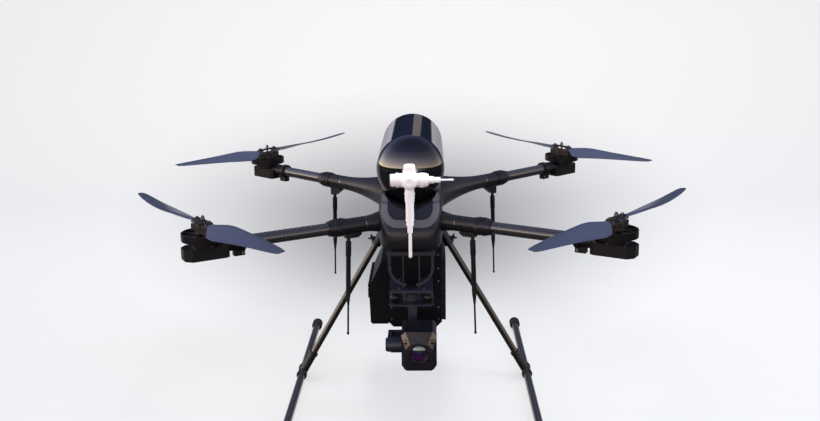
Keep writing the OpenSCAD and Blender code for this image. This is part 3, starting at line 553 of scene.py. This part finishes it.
def cameraFront():
    front = facing(lensTrim["place"], (0, -1, 0))
    rings = Piece("lensRings", "camera", cameraFinish, "camera")
    rings.lathe(front, lensTrim["rings"], lensTrim["ringSteps"])
    rings.done(lensTrim["ringCrease"])
    glass = Piece("lensFront", "camera", lensFinish, "lens")
    glass.lathe(front, lensTrim["glass"], lensTrim["glassSteps"])
    glass.done()


# Screws in both flanks of the camera
flankTrim = {"out": 45, "rows": (148, 224), "columns": (-208, -264), "head": (2, 0.8)}


def cameraScrews():
    piece = Piece("cameraScrews", "camera", steelFinish, "camera")
    for side in sides:
        for z in flankTrim["rows"]:
            for y in flankTrim["columns"]:
                spot = (cameraMiddle + side * flankTrim["out"], y, z)
                piece.screw(facing(spot, (side, 0, 0)), *flankTrim["head"])
    piece.done()


# A small square window on each bronze facet
windowTrim = {"place": (-16, -286.4, 214), "turn": 45, "size": (11, 11, 1.2), "edge": 0.4,
              "sunk": 0.2}


def facetWindows():
    windows = Piece("facetWindows", "camera", windowFinish, "camera")
    plane = (windowTrim["place"], cameraPlanes["facet"][1])
    for place, way in (plane, mirrored(*plane)):
        where = facing(place, way, windowTrim["turn"]) @ shifted(0, 0, -windowTrim["sunk"])
        windows.block(where, windowTrim["size"], windowTrim["edge"])
    windows.done()


# Cap screws in the corner holes of the gimbal's plate
plateTrim = {"middle": -230, "height": 349.5, "spots": (32, 35), "head": (2.6, 1.6)}


def plateScrews():
    piece = Piece("plateScrews", "airframe", steelFinish, "gimbal")
    x, y = plateTrim["spots"]
    for side in sides:
        for way in sides:
            spot = (side * x, plateTrim["middle"] + way * y, plateTrim["height"])
            piece.screw(facing(spot, upward), *plateTrim["head"])
    piece.done()


cameraFront()
cameraScrews()
facetWindows()
plateScrews()
print("camera trim done")


def onArm(key, distance):  # a place on an arm's axis, from its coupling outwards
    start = Vector(joints["nut_turn_" + key]["pos_m"]) / mm
    pull = Vector(joints["arm_pull_" + key]["axis"])
    return start + pull * distance, pull


# Arms: a bright seam ring on the coupling, a rubber one on the nut
ringTrim = {"steps": 64, "seamPlace": 0.6, "gripPlace": 52.5,
            "seam": ((18.6, 0), (19.8, 0), (20.1, 0.3), (20.1, 0.9), (19.8, 1.2), (18.6, 1.2)),
            "grip": ((19, 0), (21, 0.6), (21, 1.8), (19, 2.4))}


def armRings(key):
    for name, body, finish, shape in (("seamRing_", "airframe", steelFinish, "seam"),
                                      ("gripRing_", "nut_" + key, rubberFinish, "grip")):
        ring = Piece(name + key, body, finish, "coupling")
        where = facing(*onArm(key, ringTrim[shape + "Place"]))
        ring.lathe(where, ringTrim[shape], ringTrim["steps"])
        ring.done()


# Motor mounts: the clamp's screw heads and those of the tray
mountTrim = {"clampBack": 88, "clampDrop": 24, "clampOut": 7.8, "clampHead": (3.4, 2.6),
             "trayReach": (-40, 30), "trayOut": 20, "trayLift": 3.3, "trayHead": (1.8, 1.0)}


def mountScrews(key):
    spin = Vector(joints["rotor_spin_" + key]["pos_m"]) / mm
    pull = Vector(joints["arm_pull_" + key]["axis"])
    level = pull.cross(upward)
    clamp = spin - pull * mountTrim["clampBack"] - upward * mountTrim["clampDrop"]
    screws = Piece("mountScrews_" + key, "arm_" + key, steelFinish, "mount")
    for side in sides:
        out = level * side
        screws.screw(facing(clamp + out * mountTrim["clampOut"], out), *mountTrim["clampHead"])
        for reach in mountTrim["trayReach"]:
            spot = spin + pull * reach + out * mountTrim["trayOut"]
            screws.screw(facing(spot + upward * mountTrim["trayLift"], upward),
                         *mountTrim["trayHead"])
    screws.done()


for key in arms:
    armRings(key)
    mountScrews(key)

# Gas: a collar on the cylinder's neck, then ribs round the regulator's four ends and a
# pressed cap on its front. Each row of ribs is place, direction, radius, length and count
gasTrim = {"collarPlace": (0, -262, 644), "collarSteps": 48, "rib": (1.2, 1.5), "ribEdge": 0.3,
           "collar": ((17.2, 0), (19.5, 0.8), (19.5, 7), (18.4, 8), (17.2, 8)),
           "ribs": (((-34, -326, 642), (-1, 0, 0), 14.8, 10, 28),
                    ((25, -326, 642), (1, 0, 0), 17.2, 9, 32),
                    ((0, -326, 665), (0, 0, 1), 13.8, 10, 24),
                    ((0, -326, 608), (0, 0, -1), 11.2, 12, 20)),
           "capPlace": (0, -350, 642), "capSteps": 40,
           "cap": ((0, 0), (11, 0), (11, 3.2), (9.6, 4.4), (7.6, 4.4), (7, 2.6), (0, 2.6))}


def gasFittings():
    collar = Piece("neckCollar", "airframe", steelFinish, "cylinder")
    collar.lathe(facing(gasTrim["collarPlace"], (0, 1, 0)), gasTrim["collar"],
                 gasTrim["collarSteps"])
    collar.done()
    grips = Piece("regulatorGrips", "airframe", whiteFinish, "regulator")
    for place, way, radius, length, count in gasTrim["ribs"]:
        for step in ringOf(count, radius, length / 2):
            size = (*gasTrim["rib"], length)
            grips.block(facing(place, way) @ step, size, gasTrim["ribEdge"])
    grips.lathe(facing(gasTrim["capPlace"], (0, -1, 0)), gasTrim["cap"], gasTrim["capSteps"])
    grips.done()


# Fuel cell case: screws down both sides of its cover, two latches on the side box
caseTrim = {"front": -91.8, "columns": (-58, 70), "rows": (206, 240, 314, 350, 388),
            "head": (2.6, 1.6), "latchRows": (-50, 60), "plate": (-120.2, 268, (22, 20, 5), 1.2),
            "lever": (-121.6, 262, (8, 12, 4), 1.0)}


def caseFittings():
    piece = Piece("caseScrews", "airframe", steelFinish, "case")
    for x in caseTrim["columns"]:
        for z in caseTrim["rows"]:
            piece.screw(facing((x, caseTrim["front"], z), (0, -1, 0)), *caseTrim["head"])
    piece.done()
    latches = Piece("boxLatches", "airframe", caseFinish, "case")
    for y in caseTrim["latchRows"]:
        for x, z, size, edge in (caseTrim["plate"], caseTrim["lever"]):
            latches.block(facing((x, y, z), (1, 0, 0)), size, edge)
    latches.done()


# Landing gear: a band and a bolt at each end of a leg, and on both sides of its foot.
# Legs are measured up from the foot, along their lean in degrees
gearTrim = {"foot": (320, 0, 16), "lean": 30, "steps": 40, "legInner": 11, "legOuter": 13.6,
            "legBands": ((434.5, 9), (60, 8)), "legBolt": (13.2, 2.2, 1.8), "bandEdge": 0.6,
            "footOut": 22, "footBand": ((12, 0), (14.6, 0.6), (14.6, 6.4), (12, 7)),
            "footBolt": (3.5, 14.2), "footHead": (2.0, 1.4)}


def gearFittings():
    bands = Piece("gearBands", "airframe", couplingFinish, "fitting")
    bolts = Piece("gearBolts", "airframe", steelFinish, "fitting")
    lean = math.radians(gearTrim["lean"])
    inner, outer, edge = gearTrim["legInner"], gearTrim["legOuter"], gearTrim["bandEdge"]
    lift, *head = gearTrim["legBolt"]
    x, y, z = gearTrim["foot"]
    forth, rise = gearTrim["footBolt"]
    for side in sides:
        foot = Vector((side * x, y, z))
        climb = Vector((-side * math.sin(lean), 0, math.cos(lean)))
        outward = Vector((side * math.cos(lean), 0, math.sin(lean)))
        for distance, width in gearTrim["legBands"]:
            profile = ((inner, 0), (outer, edge), (outer, width - edge), (inner, width))
            bands.lathe(facing(foot + climb * distance, climb), profile, gearTrim["steps"])
            middle = foot + climb * (distance + width / 2)
            bolts.screw(facing(middle + outward * lift, outward), *head)
        for end in sides:
            place = foot + Vector((0, end * gearTrim["footOut"], 0))
            bands.lathe(facing(place, (0, end, 0)), gearTrim["footBand"], gearTrim["steps"])
            bolts.screw(facing(place + Vector((0, end * forth, rise)), upward),
                        *gearTrim["footHead"])
    bands.done()
    bolts.done()


gasFittings()
caseFittings()
gearFittings()
print("arm, gas, case and gear trim done")

# The paper bends up behind the aircraft. The centre and size of the painted shade pool are slopes from the camera
studio = {"floor": 16.0, "back": 4.2, "wall": 5.0, "sweep": 2.0, "sweepSteps": 24,
          "shadePoolCentre": (-0.018, -0.257), "shadePoolSize": (0.31, 0.145), "nearest": 0.3,
          "outside": 3.0, "ownLight": 0.65, "paperShare": 0.2, "rough": 0.9,
          "shadePoolTones": ((0.0, (0.22, 0.22, 0.225)), (0.23, (0.35, 0.35, 0.36)),
                         (0.43, (0.53, 0.53, 0.54)), (0.63, (0.71, 0.715, 0.715)),
                         (0.83, (0.85, 0.85, 0.85)), (1.0, (0.91, 0.91, 0.91)))}


def paperFinish():  # pale, with the soft grey pool of painted shade that the photograph has round the aircraft; the paper glows with it
    finish = Finish("studioPaper", rough=studio["rough"], specular=0.0)
    across, along, lift = finish.axes(finish.place())
    eye = cameraSetup["place"]
    depth = along - eye[1]
    wide = ((across - eye[0]) / depth - studio["shadePoolCentre"][0]) / studio["shadePoolSize"][0]
    high = ((lift - eye[2]) / depth - studio["shadePoolCentre"][1]) / studio["shadePoolSize"][1]
    radius = (wide * wide + high * high).root()
    behind = depth < studio["nearest"]
    # painted shade: a grey pool, darkest round the aircraft, fading out to pale paper
    shade = finish.ramp(radius + behind * studio["outside"], *studio["shadePoolTones"])
    return finish.set(color=finish.mix(studio["paperShare"], (0, 0, 0), shade),
                      glow=shade, glowPower=studio["ownLight"])


def buildStudio():
    finish = paperFinish()
    mesh = bmesh.new()
    half, back, wall = studio["floor"], studio["back"], studio["wall"]
    row = [mesh.verts.new(place)
           for place in ((-half, -half, 0), (-half, back, 0), (-half, back, wall))]
    for pair in zip(row, row[1:]):
        mesh.edges.new(pair)
    bmesh.ops.bevel(mesh, geom=[row[1]], offset=studio["sweep"], segments=studio["sweepSteps"],
                    profile=0.5, affect="VERTICES", material=-1)
    pulled = bmesh.ops.extrude_edge_only(mesh, edges=mesh.edges[:])["geom"]
    farSide = [part for part in pulled if isinstance(part, bmesh.types.BMVert)]
    bmesh.ops.translate(mesh, verts=farSide, vec=(2 * half, 0, 0))
    bmesh.ops.recalc_face_normals(mesh, faces=mesh.faces)
    for face in mesh.faces:
        face.smooth = True
    item = link("studioPaper", mesh)
    item.data.materials.append(finish.material)
    item.visible_glossy = item.visible_diffuse = False  # the photograph's undersides stay dark


lamps = (  # name, place, aim, width, depth, watts, colour
    ("overhead", (0, 0.6, 3.2), (0, 0.2, 0.5), 0.5, 3.6, 90, (1, 1, 1)),
    ("leftSide", (-3.2, -0.6, 2.4), (0, 0, 0.45), 1.4, 3.0, 30, (1, 0.95, 0.92)),
    ("rightSide", (3.2, -0.6, 2.4), (0, 0, 0.45), 1.4, 3.0, 120, (0.74, 0.85, 1)),
    ("front", (0.3, -4.4, 3.4), (0, 0, 0.4), 3.0, 1.4, 25, (1, 1, 1)),
    ("paperWash", (0, 1.5, 4.6), (0, 3.2, 0.6), 6.0, 2.0, 160, (1, 1, 1)))


def buildLamps():  # soft lamps that no mirror shows
    for name, place, aim, width, depth, watts, shade in lamps:
        data = bpy.data.lights.new(name, "AREA")
        data.shape, data.size, data.size_y = "RECTANGLE", width, depth
        data.energy, data.color = watts, shade
        lamp = bpy.data.objects.new(name, data)
        bpy.context.scene.collection.objects.link(lamp)
        turn = (Vector(aim) - Vector(place)).to_track_quat("-Z", "Y").to_matrix().to_4x4()
        lamp.matrix_world = Matrix.Translation(place) @ turn
        lamp.visible_glossy = lamp.visible_camera = False


# The air that glossy surfaces mirror, by height from nadir 0 to zenith 1
air = {"front": ((0.0, (0.004, 0.004, 0.005)), (0.496, (0.010, 0.010, 0.012)),
                 (0.502, (1.0, 0.68, 0.34)), (0.515, (0.95, 0.75, 0.55)),
                 (0.55, (0.62, 0.52, 0.48)), (0.65, (0.30, 0.28, 0.31)),
                 (0.75, (0.13, 0.13, 0.17)), (0.87, (0.035, 0.042, 0.08)),
                 (1.0, (0.010, 0.014, 0.032))),
       "rear": ((0.0, (0.02, 0.02, 0.022)), (0.46, (0.07, 0.068, 0.075)),
                (0.510, (0.10, 0.095, 0.107)), (0.516, (0.002, 0.003, 0.006)),
                (0.64, (0.004, 0.005, 0.012)), (0.75, (0.03, 0.035, 0.07)),
                (1.0, (0.010, 0.014, 0.032))),
       "turn": (0.25, 0.75), "streak": (0.045, 0.040), "streakHeights": (0.05, 0.4),
       "streakShade": (0.040, 0.035, 0.035), "leftGain": 0.5, "power": 5.0,
       "seen": (0.86, 0.86, 0.87)}


def buildAir():  # a warm horizon in front, a dark sky with a grey streak behind
    world = bpy.data.worlds.new("eveningAir")
    bpy.context.scene.world = world
    world.use_nodes = True
    sheet = Sheet(world.node_tree)
    across, along, lift = sheet.axes(sheet.add("ShaderNodeTexCoord"))
    height = lift * 0.5 + 0.5
    rear = sheet.add("ShaderNodeMapRange", {"interpolation_type": "SMOOTHSTEP"},
                     {"Value": along, "From Min": air["turn"][0], "From Max": air["turn"][1]})
    middle, half = air["streak"]
    low, high = air["streakHeights"]
    streak = (across > middle - half) * (across < middle + half) * (lift > low) * (lift < high)
    behind = sheet.mix(streak, sheet.ramp(height, *air["rear"]), air["streakShade"])
    sky = sheet.mix(rear, sheet.ramp(height, *air["front"]), behind)
    seen = sheet.add("ShaderNodeLightPath")  # past the paper's edge the camera sees more paper
    power = (1.0 - across * air["leftGain"]) * air["power"]
    background = sheet.tree.nodes["Background"]
    sheet.plug(background.inputs[0], sheet.mix(seen, sky, air["seen"]))
    sheet.plug(background.inputs[1], power * (1.0 - seen) + seen)


buildStudio()
buildLamps()
buildAir()
print("studio built")
